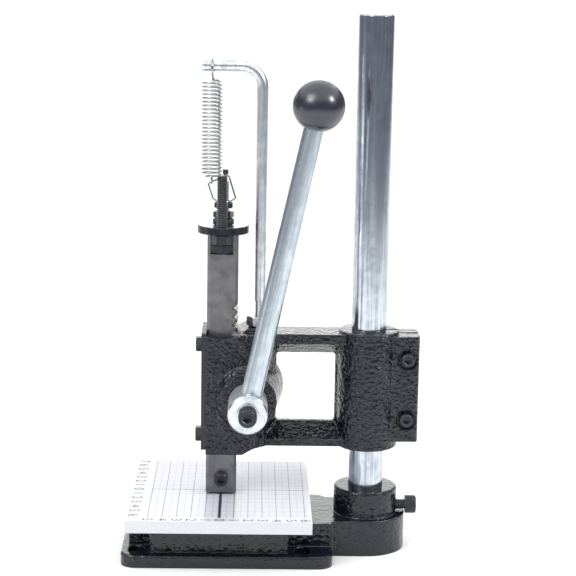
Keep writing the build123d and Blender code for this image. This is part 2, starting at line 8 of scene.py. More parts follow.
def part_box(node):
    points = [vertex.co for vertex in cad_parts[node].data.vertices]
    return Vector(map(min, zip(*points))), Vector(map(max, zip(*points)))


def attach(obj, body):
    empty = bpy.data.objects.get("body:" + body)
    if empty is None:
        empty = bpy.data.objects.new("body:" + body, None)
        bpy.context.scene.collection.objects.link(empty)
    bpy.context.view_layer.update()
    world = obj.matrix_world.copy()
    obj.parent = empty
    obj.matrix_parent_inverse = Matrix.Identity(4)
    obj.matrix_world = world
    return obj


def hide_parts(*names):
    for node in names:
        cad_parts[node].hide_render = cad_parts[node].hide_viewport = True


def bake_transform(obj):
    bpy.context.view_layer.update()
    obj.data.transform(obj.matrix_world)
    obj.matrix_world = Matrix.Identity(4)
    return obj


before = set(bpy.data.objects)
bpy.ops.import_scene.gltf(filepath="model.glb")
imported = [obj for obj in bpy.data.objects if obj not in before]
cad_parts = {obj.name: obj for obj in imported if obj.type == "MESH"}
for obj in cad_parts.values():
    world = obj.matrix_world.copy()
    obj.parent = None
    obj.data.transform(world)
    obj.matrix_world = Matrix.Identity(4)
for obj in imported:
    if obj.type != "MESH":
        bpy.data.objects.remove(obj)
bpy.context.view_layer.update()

MM = 0.001
UP = Vector((0, 0, 1))


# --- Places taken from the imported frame, in metres ---

def middle(node):
    """Centre of a CAD node's box at rest."""
    low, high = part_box(node)
    return (Vector(low) + Vector(high)) / 2


BOARD_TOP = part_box("cutting_board")[1][2]
KNOB = middle("ball_knob")
PINION = middle("hub_screw")


# --- Shader helpers ---

BEVEL_SAMPLES = 6
NOISE_RANGE = (0.3, 0.7)
EDGE_LIKENESS = (0.995, 0.9)        # true against rounded normal: flat face, sharp edge
# noise range that breaks edge wear, and on the castings the painted edge highlight, into patches
WEAR_AND_HIGHLIGHT_PATCHES = (0.42, 0.6)


def add_node(tree, kind, inputs=None, **settings):
    """Adds a shader node. Each input is a plain value or another node's output socket."""
    made = tree.nodes.new("ShaderNode" + kind)
    for name, value in settings.items():
        setattr(made, name, value)
    for name, value in (inputs or {}).items():
        if isinstance(value, bpy.types.NodeSocket):
            tree.links.new(value, made.inputs[name])
        else:
            made.inputs[name].default_value = value
    return made


def spread(tree, value, low, high, to_low=0.0, to_high=1.0):
    """Maps value smoothly from low..high to to_low..to_high."""
    inputs = {"Value": value, "From Min": low, "From Max": high, "To Min": to_low, "To Max": to_high}
    return add_node(tree, "MapRange", inputs, interpolation_type="SMOOTHSTEP").outputs["Result"]


def calculate(tree, operation, first, second=0.0):
    return add_node(tree, "Math", {0: first, 1: second}, operation=operation).outputs[0]


def blend_colour(tree, share, first, second):
    """first where share is 0 and second where it is 1."""
    made = add_node(tree, "Mix", {0: share, 6: first, 7: second}, data_type="RGBA")
    return made.outputs[2]


def cloud(tree, where, scale, detail=2.0, distortion=0.0):
    """Noise from 0 to 1 with that many features per metre."""
    inputs = {"Vector": where, "Scale": scale, "Detail": detail, "Distortion": distortion}
    return add_node(tree, "TexNoise", inputs).outputs[0]


def weighted_sum(tree, *terms):
    """Sum of (value, weight) pairs."""
    total = 0.0
    for value, weight in terms:
        total = calculate(tree, "ADD", total, calculate(tree, "MULTIPLY", value, weight))
    return total


def facing(tree, axis):
    """How far the surface faces along axis 0, 1 or 2 of the row frame, from -1 to 1."""
    normal = add_node(tree, "TexCoord").outputs["Normal"]
    return add_node(tree, "SeparateXYZ", {0: normal}).outputs[axis]


def stretched(tree, where, scale, turn=(0, 0, 0)):
    """Object coordinates turned, then scaled on each axis."""
    turned = add_node(tree, "Mapping", {"Vector": where, "Rotation": turn}).outputs[0]
    return add_node(tree, "Mapping", {"Vector": turned, "Scale": scale}).outputs[0]


def start_material(name, **values):
    """A material with its shader's own sockets set, its node tree, its shader and its object coordinates."""
    made = bpy.data.materials.new(name)
    made.use_nodes = True
    tree = made.node_tree
    shader = tree.nodes["Principled BSDF"]
    for socket, value in values.items():
        shader.inputs[socket.replace("_", " ")].default_value = value
    where = add_node(tree, "TexCoord").outputs["Object"]
    return made, tree, shader, where


def set_input(tree, shader, **sockets):
    for name, source in sockets.items():
        tree.links.new(source, shader.inputs[name.replace("_", " ")])


def noise_roughness(tree, value, low, high):
    """Roughness that follows noise, nearly all of which lies within NOISE_RANGE."""
    return spread(tree, value, *NOISE_RANGE, low, high)


def relief(tree, height, depth, strength=1.0, edge=None):
    """A bumped normal, on edges that are rounded off to a radius of edge."""
    inputs = {"Height": height, "Distance": depth, "Strength": strength}
    if edge:
        inputs["Normal"] = add_node(tree, "Bevel", {"Radius": edge}, samples=BEVEL_SAMPLES).outputs[0]
    return add_node(tree, "Bump", inputs).outputs[0]


def edge_share(tree, where, radius, grain):
    """1 along sharp edges, broken up by noise, and 0 on flat faces."""
    rounded = add_node(tree, "Bevel", {"Radius": radius}, samples=BEVEL_SAMPLES).outputs[0]
    true_normal = add_node(tree, "NewGeometry").outputs["Normal"]
    likeness = add_node(tree, "VectorMath", {0: rounded, 1: true_normal}, operation="DOT_PRODUCT")
    edge = spread(tree, likeness.outputs["Value"], *EDGE_LIKENESS)
    patches = spread(tree, cloud(tree, where, grain, detail=3), *WEAR_AND_HIGHLIGHT_PATCHES)
    return calculate(tree, "MULTIPLY", edge, patches)


def worn_edges(tree, where, colour, bare, amount, radius, grain):
    """colour, worn through to bare by amount along the edges. On the castings the bare colour is also a
    painted highlight along the rounded edges.
    """
    share = calculate(tree, "MULTIPLY", edge_share(tree, where, radius, grain), amount)
    return blend_colour(tree, share, colour, bare)


# --- Materials ---

PAINT_COLOURS = (0.002, 0.003, 0.007, 1), (0.005, 0.008, 0.016, 1)
# bare iron where the paint is worn off the edges, light enough to be a painted highlight along the casting
# edges too
BARE_IRON_AND_HIGHLIGHT = (0.42, 0.43, 0.47, 1)
PLATE_COLOURS = (0.010, 0.011, 0.014, 1), (0.022, 0.023, 0.029, 1)
BARE_PLATE = (0.12, 0.12, 0.13, 1)
OXIDE_COLOURS = (0.016, 0.018, 0.024, 1), (0.036, 0.039, 0.048, 1)
# rubbed oxide on worn edges, and the painted highlight along thread crests
RUBBED_OXIDE_AND_HIGHLIGHT = (0.2, 0.2, 0.21, 1)
THREAD_CREST_HIGHLIGHT = (0.505, 0.56)        # Pointiness from the flanks to the crest, over which the painted highlight on thread crests fades in
PLATING_SPECK = (0.1, 0.1, 0.11, 1)
RAM_COLOURS = (0.16, 0.16, 0.172, 1), (0.26, 0.26, 0.275, 1)
OIL_STAIN = (0.075, 0.066, 0.06, 1)
BRIGHT_RAM_EDGE = (0.42, 0.41, 0.4, 1)
FACED_COLOURS = (0.3, 0.31, 0.34, 1), (0.5, 0.52, 0.56, 1)
DISC_RIM_COLOURS = (0.02, 0.021, 0.026, 1), (0.06, 0.062, 0.072, 1)
BRIGHT_DISC_EDGE = (0.5, 0.5, 0.52, 1)
KNOB_COLOURS = (0.012, 0.015, 0.026, 1), (0.017, 0.021, 0.035, 1)
BOARD_COLOURS = (0.6, 0.61, 0.65, 1), (0.64, 0.65, 0.685, 1)
BOARD_DUST = (0.55, 0.56, 0.6, 1)
GREASE_COLOURS = (0.8, 0.74, 0.6, 1), (0.3, 0.25, 0.2, 1)
PAPER_COLOURS = (0.9, 0.9, 0.9, 1), (0.93, 0.93, 0.93, 1)
DIM_GREY = (0.15, 0.165, 0.195, 1)
PAPER_FADE = (0.9, 2.7)             # metres from the object where the white starts and ends its fade into painted shade
PAPER_BACK_SHARE = 0.35             # the fade is slower behind the object


def hammered_paint(name, cell=2.8 * MM, depth=1.35 * MM, edge=1.6 * MM, flatten=1.25, top_relief=0.6):
    """Thick gloss black paint over rough cast iron: soft wrinkles, wider than high, smoother on top faces."""
    made, tree, shader, where = start_material(name, IOR=1.55)
    wide = stretched(tree, where, (1, 1, flatten))
    wrinkles = cloud(tree, wide, scale=1 / cell, detail=1.6, distortion=0.25)
    swells = cloud(tree, where, scale=0.16 / cell, detail=1.5)
    pit_inputs = {"Vector": wide, "Scale": 0.75 / cell}
    pits = add_node(tree, "TexVoronoi", pit_inputs, feature="SMOOTH_F1").outputs[0]
    height = weighted_sum(tree, (swells, 0.9), (wrinkles, 1.0), (pits, 0.45))
    colour = blend_colour(tree, spread(tree, wrinkles, 0.35, 0.65), *PAINT_COLOURS)
    # worn paint along the edges, which is also a painted highlight on the rounded casting edges
    colour = worn_edges(tree, where, colour, BARE_IRON_AND_HIGHLIGHT, amount=0.4, radius=0.6 * MM, grain=260)
    strength = spread(tree, facing(tree, 2), 0.6, 0.95, 1.0, top_relief)
    set_input(tree, shader, Base_Color=colour,
              Roughness=noise_roughness(tree, cloud(tree, where, scale=0.35 / cell, detail=3), 0.09, 0.2),
              Normal=relief(tree, height, depth, strength, edge))
    return made


def satin_black(name):
    """Thin black paint on rolled steel plate."""
    made, tree, shader, where = start_material(name, IOR=1.5)
    grain = cloud(tree, where, scale=1400, detail=3)
    painted = blend_colour(tree, grain, *PLATE_COLOURS)
    set_input(tree, shader,
              Base_Color=worn_edges(tree, where, painted, BARE_PLATE, amount=1.0, radius=0.4 * MM, grain=500),
              Roughness=noise_roughness(tree, cloud(tree, where, scale=160), 0.28, 0.42),
              Normal=relief(tree, grain, 0.04 * MM, strength=0.6, edge=0.5 * MM))
    return made


def black_oxide(name, crest_highlight=0.0):
    """Blackened screw steel, rubbed a little brighter along its edges, with a painted highlight along the
    crests of threads.
    """
    made, tree, shader, where = start_material(name, Metallic=0.4)
    grain = cloud(tree, where, scale=2600, detail=3)
    edges = calculate(tree, "MULTIPLY", edge_share(tree, where, radius=0.25 * MM, grain=900), 0.75)
    pointed = add_node(tree, "NewGeometry").outputs["Pointiness"]
    # worn edges, and a painted highlight along thread crests
    rubbed = calculate(tree, "MAXIMUM", edges, spread(tree, pointed, *THREAD_CREST_HIGHLIGHT, 0.0, crest_highlight))
    set_input(tree, shader,
              Base_Color=blend_colour(tree, rubbed, blend_colour(tree, grain, *OXIDE_COLOURS), RUBBED_OXIDE_AND_HIGHLIGHT),
              Roughness=noise_roughness(tree, cloud(tree, where, scale=500), 0.2, 0.32),
              Normal=relief(tree, grain, 0.006 * MM, strength=0.4))
    return made


def plated_steel(name, colours, roughness, lengthwise, turn=(0, 0, 0), patchy=(0.35, 0.65), dull_sides=0.0):
    """Plated bar steel. lengthwise scales the coordinates so that the streaks run along the bar."""
    made, tree, shader, where = start_material(name, Metallic=1.0)
    drawn = stretched(tree, where, lengthwise, turn)
    streaks = cloud(tree, drawn, scale=900, detail=4, distortion=0.2)
    bands = cloud(tree, drawn, scale=150)
    blotches = cloud(tree, where, scale=120, detail=4, distortion=0.6)
    clean = weighted_sum(tree, (streaks, 0.4), (bands, 0.3), (blotches, 0.3))
    specks = spread(tree, cloud(tree, where, scale=1500), 0.68, 0.76, 0.0, 0.35)
    plating = blend_colour(tree, spread(tree, clean, *patchy), *colours)
    side_on = spread(tree, calculate(tree, "ABSOLUTE", facing(tree, 1)), 0.6, 0.2, 0.0, dull_sides)
    smooth, rough = roughness
    set_input(tree, shader, Base_Color=blend_colour(tree, specks, plating, PLATING_SPECK),
              Roughness=calculate(tree, "ADD", noise_roughness(tree, clean, rough, smooth), side_on),
              Normal=relief(tree, streaks, 0.015 * MM, strength=0.5, edge=0.4 * MM))
    return made


def ram_steel(name):
    """Raw drawn steel with a film of oil: fine lengthwise lines and a few darker stains."""
    made, tree, shader, where = start_material(name, Metallic=0.9)
    lines = cloud(tree, stretched(tree, where, ALONG_Z), scale=1500, detail=4)
    stains = spread(tree, cloud(tree, where, scale=90, detail=4, distortion=0.8), 0.4, 0.7, 0.0, 0.45)
    colour = blend_colour(tree, stains, blend_colour(tree, lines, *RAM_COLOURS), OIL_STAIN)
    colour = worn_edges(tree, where, colour, BRIGHT_RAM_EDGE, amount=0.6, radius=0.4 * MM, grain=400)
    set_input(tree, shader, Base_Color=colour,
              Roughness=noise_roughness(tree, lines, 0.34, 0.5),
              Normal=relief(tree, lines, 0.02 * MM, strength=0.6, edge=0.3 * MM))
    return made


def turned_disc(name, centre):
    """A disc with a bright faced top, its turning marks in rings round the centre, and a blackened rim."""
    made, tree, shader, where = start_material(name, Metallic=0.9)
    shift = {"Vector": where, "Location": (-centre.x, -centre.y, 0)}
    from_centre = add_node(tree, "Mapping", shift).outputs[0]
    flat = add_node(tree, "VectorMath", {0: from_centre, 1: (1, 1, 0)}, operation="MULTIPLY").outputs[0]
    distance = add_node(tree, "VectorMath", {0: flat}, operation="LENGTH").outputs["Value"]
    ring_inputs = {"W": distance, "Scale": 4200.0, "Detail": 3.0}
    rings = add_node(tree, "TexNoise", ring_inputs, noise_dimensions="1D").outputs[0]
    rim = blend_colour(tree, cloud(tree, where, scale=700, detail=3), *DISC_RIM_COLOURS)
    colour = blend_colour(tree, spread(tree, facing(tree, 2), 0.7, 0.9), rim,
                          blend_colour(tree, rings, *FACED_COLOURS))
    colour = worn_edges(tree, where, colour, BRIGHT_DISC_EDGE, amount=0.7, radius=0.3 * MM, grain=700)
    set_input(tree, shader, Base_Color=colour,
              Roughness=noise_roughness(tree, rings, 0.2, 0.34),
              Normal=relief(tree, rings, 0.01 * MM, strength=0.6, edge=0.35 * MM))
    return made


def knob_plastic(name):
    """Polished black moulded plastic with faint orange peel and hairline scratches."""
    made, tree, shader, where = start_material(name, IOR=1.5, Coat_Weight=0.75, Coat_Roughness=0.18)
    peel = cloud(tree, where, scale=260)
    scratch = cloud(tree, stretched(tree, where, (1, 1, 0.08), (0.5, 0.3, 0)), scale=2400, detail=3)
    height = weighted_sum(tree, (peel, 1.0), (scratch, 0.05))
    set_input(tree, shader, Base_Color=blend_colour(tree, peel, *KNOB_COLOURS),
              Roughness=spread(tree, scratch, 0.35, 0.75, 0.28, 0.42),
              Normal=relief(tree, height, 0.06 * MM, strength=0.5))
    return made


def board_plastic(name):
    """Smooth white plastic, with faint knife marks on top and saw marks on its edges."""
    made, tree, shader, where = start_material(name, IOR=1.42)
    marks = cloud(tree, stretched(tree, where, (1, 0.2, 1)), scale=500)
    dust = spread(tree, cloud(tree, where, scale=900, detail=3), 0.66, 0.8, 0.0, 0.12)
    set_input(tree, shader,
              Base_Color=blend_colour(tree, dust, blend_colour(tree, marks, *BOARD_COLOURS), BOARD_DUST),
              Roughness=noise_roughness(tree, marks, 0.2, 0.26),
              Normal=relief(tree, marks, 0.002 * MM, strength=0.3, edge=0.4 * MM))
    return made


def printed_ink(name, dark, pale):
    """Ink on the board, a little uneven where it has rubbed off."""
    made, tree, shader, where = start_material(name, IOR=1.45)
    rubbed = spread(tree, cloud(tree, where, scale=700, detail=4), 0.45, 0.7)
    set_input(tree, shader, Base_Color=blend_colour(tree, rubbed, dark, pale),
              Roughness=spread(tree, rubbed, 0.0, 1.0, 0.3, 0.45))
    return made


def grease(name):
    """Whitish yellow grease squeezed out of the rack."""
    made, tree, shader, where = start_material(name, IOR=1.47, Subsurface_Weight=0.4, Subsurface_Scale=0.001)
    dirt = spread(tree, cloud(tree, where, scale=1100, detail=3), 0.4, 0.75)
    set_input(tree, shader, Base_Color=blend_colour(tree, dirt, *GREASE_COLOURS),
              Roughness=spread(tree, dirt, 0.0, 1.0, 0.12, 0.4),
              Normal=relief(tree, cloud(tree, where, scale=900), 0.1 * MM, strength=0.6))
    return made


def floor_paper(name):
    """White studio paper, with painted shade: greyer where it runs away from the light to the sides and the
    operator.
    """
    made, tree, shader, where = start_material(name, Specular_IOR_Level=0.1)
    fibres = cloud(tree, where, scale=300)
    across, along = add_node(tree, "SeparateXYZ", {0: where}).outputs[:2]
    before = calculate(tree, "MULTIPLY", along, -1.0)
    lengthwise = calculate(tree, "MAXIMUM", before, calculate(tree, "MULTIPLY", along, -PAPER_BACK_SHARE))
    away = calculate(tree, "ADD", calculate(tree, "ABSOLUTE", across), lengthwise)
    white = blend_colour(tree, fibres, *PAPER_COLOURS)
    # painted shade: the paper turns grey with distance from the object
    set_input(tree, shader, Base_Color=blend_colour(tree, spread(tree, away, *PAPER_FADE), white, DIM_GREY),
              Roughness=noise_roughness(tree, fibres, 0.7, 0.8))
    return made


LEVER_LEAN = math.atan2(KNOB.x - PINION.x, KNOB.z - PINION.z)
ALONG_Z = (1, 1, 0.03)
ALONG_Y = (1, 0.05, 1)

CASTING = hammered_paint("cast_paint")
BASE_PAINT = hammered_paint("base_paint", cell=3.2 * MM, depth=0.8 * MM, edge=2.0 * MM, flatten=1.2,
                            top_relief=0.3)
PLATE = satin_black("plate_paint")
OXIDE = black_oxide("black_oxide")
# oxide with a painted highlight along its thread crests
THREAD_OXIDE = black_oxide("thread_oxide", 0.95)
COLUMN_METAL = plated_steel("column_chrome", ((0.34, 0.375, 0.425, 1), (0.63, 0.68, 0.735, 1)), (0.12, 0.24),
                            ALONG_Z, patchy=(0.36, 0.6))
LEVER_METAL = plated_steel("lever_zinc", ((0.42, 0.49, 0.54, 1), (0.72, 0.79, 0.83, 1)), (0.26, 0.4),
                           ALONG_Z, turn=(0, -LEVER_LEAN, 0))
HUB_METAL = plated_steel("hub_zinc", ((0.42, 0.47, 0.5, 1), (0.68, 0.72, 0.735, 1)), (0.12, 0.24),
                         ALONG_Y, dull_sides=0.35)
HANGER_METAL = plated_steel("hanger_zinc", ((0.52, 0.57, 0.6, 1), (0.92, 0.95, 0.97, 1)), (0.22, 0.42),
                            ALONG_Z, patchy=(0.42, 0.58))
SPRING_METAL = plated_steel("spring_wire", ((0.32, 0.33, 0.34, 1), (0.5, 0.51, 0.52, 1)), (0.12, 0.2),
                            (1, 1, 1))
RAM_METAL = ram_steel("ram_steel")
DISC_METAL = turned_disc("disc_steel", middle("stop_disc"))
KNOB_PLASTIC = knob_plastic("knob_plastic")
BOARD_PLASTIC = board_plastic("board_plastic")
DARK_INK = printed_ink("dark_ink", (0.02, 0.02, 0.03, 1), (0.06, 0.06, 0.08, 1))
FINE_INK = printed_ink("fine_ink", (0.22, 0.25, 0.42, 1), (0.4, 0.43, 0.56, 1))
LINE_INK = printed_ink("line_ink", (0.06, 0.06, 0.09, 1), (0.2, 0.2, 0.26, 1))
GREASE = grease("rack_grease")

NODE_MATERIALS = {
    "base_casting": BASE_PAINT,
    "head_casting": CASTING,
    "guide_plate": PLATE,
    "cutting_board": BOARD_PLASTIC,
    "column": COLUMN_METAL,
    "hanger_rod": HANGER_METAL,
    "lever_rod": LEVER_METAL,
    "lever_hub": HUB_METAL,
    "hub_washer": HUB_METAL,
    "ball_knob": KNOB_PLASTIC,
    "ram": RAM_METAL,
    "pinion_shaft": RAM_METAL,
    "hub_key": RAM_METAL,
    "stop_disc": DISC_METAL,
    "return_spring": SPRING_METAL,
    "spring_link": SPRING_METAL,
}

for node_name, cad_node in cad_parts.items():
    for material_slot in cad_node.material_slots:
        material_slot.material = NODE_MATERIALS.get(node_name, OXIDE)


# --- Mesh helpers ---

THREAD_DEPTH = 0.61                 # of the pitch
THREAD_PROFILE = (                  # share of the pitch, and whether it is at the root
    (0.0, True),
    (0.25, True),
    (0.5625, False),
    (0.6875, False),
)
FACE_SHARE = 0.475                  # radius of a nut's flat face, of its width across flats
CHAMFER_SLOPE = math.tan(math.radians(30))


def add_piece(name, mesh_data, material, body, replaced=(), sharp=35):
    """A mesh piece in the row frame that rides on a body and may stand for some CAD nodes."""
    vertices, faces = mesh_data
    mesh = bpy.data.meshes.new(name)
    mesh.from_pydata([tuple(v) for v in vertices], [], faces)
    mesh.update()
    mesh.shade_smooth()
    mesh.set_sharp_from_angle(angle=math.radians(sharp))
    mesh.materials.append(material)
    piece = bpy.data.objects.new(name, mesh)
    bpy.context.scene.collection.objects.link(piece)
    if body:
        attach(piece, body)
    if replaced:
        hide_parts(*replaced)
    return piece


def join_meshes(parts):
    """One list of vertices and one of faces from several."""
    vertices, faces = [], []
    for part_vertices, part_faces in parts:
        start = len(vertices)
        vertices += part_vertices
        faces += [tuple(start + i for i in face) for face in part_faces]
    return vertices, faces


def skin(rows, ring=False):
    """Faces between loops of equally many points. A ring joins its ends, and any other skin is capped."""
    count = len(rows[0])
    vertices = [point for row in rows for point in row]
    faces = []
    for i in range(len(rows) if ring else len(rows) - 1):
        near = i * count
        far = (i + 1) % len(rows) * count
        for j in range(count):
            k = (j + 1) % count
            faces.append((near + j, near + k, far + k, far + j))
    if not ring:
        faces.append(tuple(range(count - 1, -1, -1)))
        faces.append(tuple(len(vertices) - count + j for j in range(count)))
    return vertices, faces


def stand(foot, axis=UP, turn=0.0):
    """Matrix that stands a shape made round +Z at foot, along axis."""
    turned = Vector(axis).to_track_quat("Z", "Y").to_matrix().to_4x4() @ Matrix.Rotation(turn, 4, "Z")
    return Matrix.Translation(foot) @ turned


def loop(place, sides, shape):
    """A loop of points. shape gives (reach, height) at each angle."""
    points = []
    for j in range(sides):
        angle = 2 * math.pi * j / sides
        reach, height = shape(angle)
        points.append(place @ Vector((reach * math.cos(angle), reach * math.sin(angle), height)))
    return points


def hexagon(angle, flats):
    """Distance from the middle to a hexagon's side, with a corner at angle 0."""
    return flats / 2 / math.cos(angle % (math.pi / 3) - math.pi / 6)


def turned(place, profile, sides=72):
    """A shape turned on a lathe: profile holds (radius, height) from end to end."""
    return skin([loop(place, sides, lambda angle, row=row: row) for row in profile])


def tube(points, radius, sides=12):
    """A round bar through points, with closed ends."""
    rows = []
    side = Vector((1, 0, 0))
    for i, point in enumerate(points):
        ahead = (points[min(i + 1, len(points) - 1)] - points[max(i - 1, 0)]).normalized()
        side = side - ahead * side.dot(ahead)
        if side.length < 0.01:
            side = ahead.orthogonal()
        side.normalize()
        across = ahead.cross(side)
        turns = [2 * math.pi * j / sides for j in range(sides)]
        rows.append([point + radius * (math.cos(turn) * side + math.sin(turn) * across) for turn in turns])
    return skin(rows)


def screw_thread(place, length, radius, pitch, sides=36):
    """A bar with a real screw thread, chamfered at both ends."""
    root = radius - THREAD_DEPTH * pitch
    profile = [(share, root if at_root else radius) for share, at_root in THREAD_PROFILE]
    rows = []
    for turn in range(-1, int(length / pitch) + 1):
        rows += [((turn + share) * pitch, reach) for share, reach in profile]
    vertices, faces = [], []
    for start, reach in rows:
        for j in range(sides):
            angle = 2 * math.pi * j / sides
            height = min(max(start + pitch * j / sides, 0), length)
            wide = min(reach, root + 1.2 * min(height, length - height))
            vertices.append(place @ Vector((wide * math.cos(angle), wide * math.sin(angle), height)))
    next_turn = len(profile)
    for i in range(len(rows) - next_turn - 1):
        for j in range(sides):
            near, far = i * sides + j, (i + 1) * sides + j
            if j < sides - 1:
                faces.append((near, near + 1, far + 1, far))
            else:
                faces.append((near, (i + next_turn) * sides, (i + next_turn + 1) * sides, far))
    core = root * 0.98
    caps = [skin([loop(place, sides, lambda angle, height=height: (core, height)) for height in ends])
            for ends in ((0.0, pitch / 2), (length - pitch / 2, length))]
    return join_meshes([(vertices, faces)] + caps)


def corner_drop(angle, flats):
    """How far the usual 30 degree chamfer lowers a hexagon's face at an angle."""
    return max(hexagon(angle, flats) - FACE_SHARE * flats, 0) * CHAMFER_SLOPE


def nut(place, height, flats, hole, sides=120):
    """A hexagon nut, chamfered on both faces and round its hole."""
    face = FACE_SHARE * flats
    chamfer = 0.12 * hole
    rows = [
        loop(place, sides, lambda angle: (face, 0)),
        loop(place, sides, lambda angle: (hexagon(angle, flats), corner_drop(angle, flats))),
        loop(place, sides, lambda angle: (hexagon(angle, flats), height - corner_drop(angle, flats))),
        loop(place, sides, lambda angle: (face, height)),
        loop(place, sides, lambda angle: (hole + chamfer, height)),
        loop(place, sides, lambda angle: (hole, height - chamfer)),
        loop(place, sides, lambda angle: (hole, chamfer)),
        loop(place, sides, lambda angle: (hole + chamfer, 0)),
    ]
    return skin(rows, ring=True)


def socket_head(place, radius, height, key, ridges=44):
    """A knurled cap-screw head with a hexagon socket in its end."""
    sides = ridges * 4
    groove = 0.025 * radius

    def knurl(angle):
        return radius - groove * (1 - math.cos(ridges * angle)) / 2

    depth = 0.5 * height
    rows = [
        loop(place, sides, lambda angle: (0.97 * radius, 0)),
        loop(place, sides, lambda angle: (knurl(angle), 0.03 * radius)),
        loop(place, sides, lambda angle: (knurl(angle), 0.88 * height)),
        loop(place, sides, lambda angle: (0.96 * radius, 0.95 * height)),
        loop(place, sides, lambda angle: (0.88 * radius, height)),
        loop(place, sides, lambda angle: (1.1 * hexagon(angle, key), height)),
        loop(place, sides, lambda angle: (hexagon(angle, key), height - 0.04 * radius)),
        loop(place, sides, lambda angle: (hexagon(angle, key), height - depth)),
        loop(place, sides, lambda angle: (0.2 * key, height - 1.15 * depth)),
    ]
    return skin(rows)


def hex_head(place, height, flats, sides=120):
    """A hexagon screw head with its outer corners chamfered."""
    face = FACE_SHARE * flats
    rows = [
        loop(place, sides, lambda angle: (hexagon(angle, flats), 0)),
        loop(place, sides, lambda angle: (hexagon(angle, flats), height - corner_drop(angle, flats))),
        loop(place, sides, lambda angle: (face, height)),
        loop(place, sides, lambda angle: (0.9 * face, height)),
    ]
    return skin(rows)


# --- Fasteners with real threads ---

M8_PITCH = 1.25 * MM
M6_PITCH = 1.0 * MM
M8 = 4.0 * MM
M6 = 3.0 * MM
M8_KEY = 6 * MM
M6_KEY = 5 * MM
NUT_HOLE_M8 = 3.9 * MM
STOP_HEAD_HEIGHT = 5.3 * MM
PLATE_BOLT_HEAD_HEIGHT = 4 * MM
POST_NUT_HEIGHT = 4.8 * MM
POST_NUT_FLATS = 13 * MM
POST_NUT_TURN = math.radians(12)    # the upper nut stands a little turned
POST_TIP_X = 1.2 * MM               # the tip leans off the axis
POST_NECK_LENGTH = 5.2 * MM
POST_NECK_RADIUS = 1.1 * MM
POST_TIP_LENGTH = 3.6 * MM
POST_TIP_RADIUS = 2.3 * MM
POST_TIP_PITCH = 0.7 * MM
OVERLAP = 0.5 * MM                  # how far a neck runs into its neighbours
HANGER_BEND = 15 * MM
HANGER_THREAD_SHOWN = 11 * MM       # above its nut
TOWARDS_OPERATOR = Vector((0, -1, 0))
RIGHT = Vector((1, 0, 0))
LEFT = -RIGHT


def node_box(node):
    low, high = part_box(node)
    return Vector(low), Vector(high)


def stop_bolt():
    """Threaded stop bolt in front of the ram, its head below, in the ram's front pocket."""
    low, high = node_box("stop_bolt")
    flats = high.x - low.x
    foot = Vector(((low.x + high.x) / 2, (low.y + high.y) / 2, low.z))
    head = hex_head(stand(foot + UP * STOP_HEAD_HEIGHT, -UP, math.pi / 6), STOP_HEAD_HEIGHT, flats)
    length = high.z - low.z - STOP_HEAD_HEIGHT
    thread = screw_thread(stand(foot + UP * STOP_HEAD_HEIGHT), length, M8, M8_PITCH)
    add_piece("stop_bolt_head", head, OXIDE, "ram", ["stop_bolt"])
    add_piece("stop_bolt_thread", thread, THREAD_OXIDE, "ram")
    low, high = node_box("stop_lock_nut")
    foot = Vector((foot.x, foot.y, low.z))
    made = nut(stand(foot), high.z - low.z, high.y - low.y, NUT_HOLE_M8)
    add_piece("stop_lock_nut_chamfered", made, OXIDE, "ram", ["stop_lock_nut"])


def centre_post():
    """Threaded stud on the ram's axis, with a thin neck and a ridged tip, and the three nuts on it."""
    low, high = node_box("centre_post")
    tip_foot = high.z - POST_TIP_LENGTH
    shoulder = tip_foot - POST_NECK_LENGTH
    neck = [(POST_NECK_RADIUS, -OVERLAP), (POST_NECK_RADIUS, POST_NECK_LENGTH + OVERLAP)]
    parts = [
        screw_thread(stand((0, 0, low.z)), shoulder - low.z, M8, M8_PITCH),
        turned(stand((POST_TIP_X, 0, shoulder)), neck, 24),
        screw_thread(stand((POST_TIP_X, 0, tip_foot)), POST_TIP_LENGTH, POST_TIP_RADIUS, POST_TIP_PITCH, 28),
    ]
    add_piece("centre_post_threaded", join_meshes(parts), THREAD_OXIDE, "ram",
              ["centre_post"])
    low, high = node_box("post_nuts")
    upper_foot = (0, 0, high.z - POST_NUT_HEIGHT)
    pair = [
        nut(stand((0, 0, low.z)), POST_NUT_HEIGHT, POST_NUT_FLATS, NUT_HOLE_M8),
        nut(stand(upper_foot, UP, POST_NUT_TURN), POST_NUT_HEIGHT, POST_NUT_FLATS, NUT_HOLE_M8),
    ]
    add_piece("post_nuts_chamfered", join_meshes(pair), OXIDE, "ram", ["post_nuts"])
    low, high = node_box("spring_nut")
    made = nut(stand((0, 0, low.z), UP, math.pi / 6), high.z - low.z, POST_NUT_FLATS, NUT_HOLE_M8)
    add_piece("spring_nut_chamfered", made, OXIDE, "ram", ["spring_nut"])


def clamp_bolts():
    low, high = node_box("clamp_bolts")
    radius = (high.x - low.x) / 2
    parts = []
    for z in (low.z + radius, high.z - radius):
        seat = Vector(((low.x + high.x) / 2, low.y + 2 * M6, z))
        parts.append(socket_head(stand(seat, TOWARDS_OPERATOR, 0.3), radius, 2 * M6, M6_KEY))
        foot = stand((seat.x, high.y, z), TOWARDS_OPERATOR)
        parts.append(screw_thread(foot, high.y - seat.y, M6, M6_PITCH))
    add_piece("clamp_bolts_knurled", join_meshes(parts), OXIDE, "head", ["clamp_bolts"])


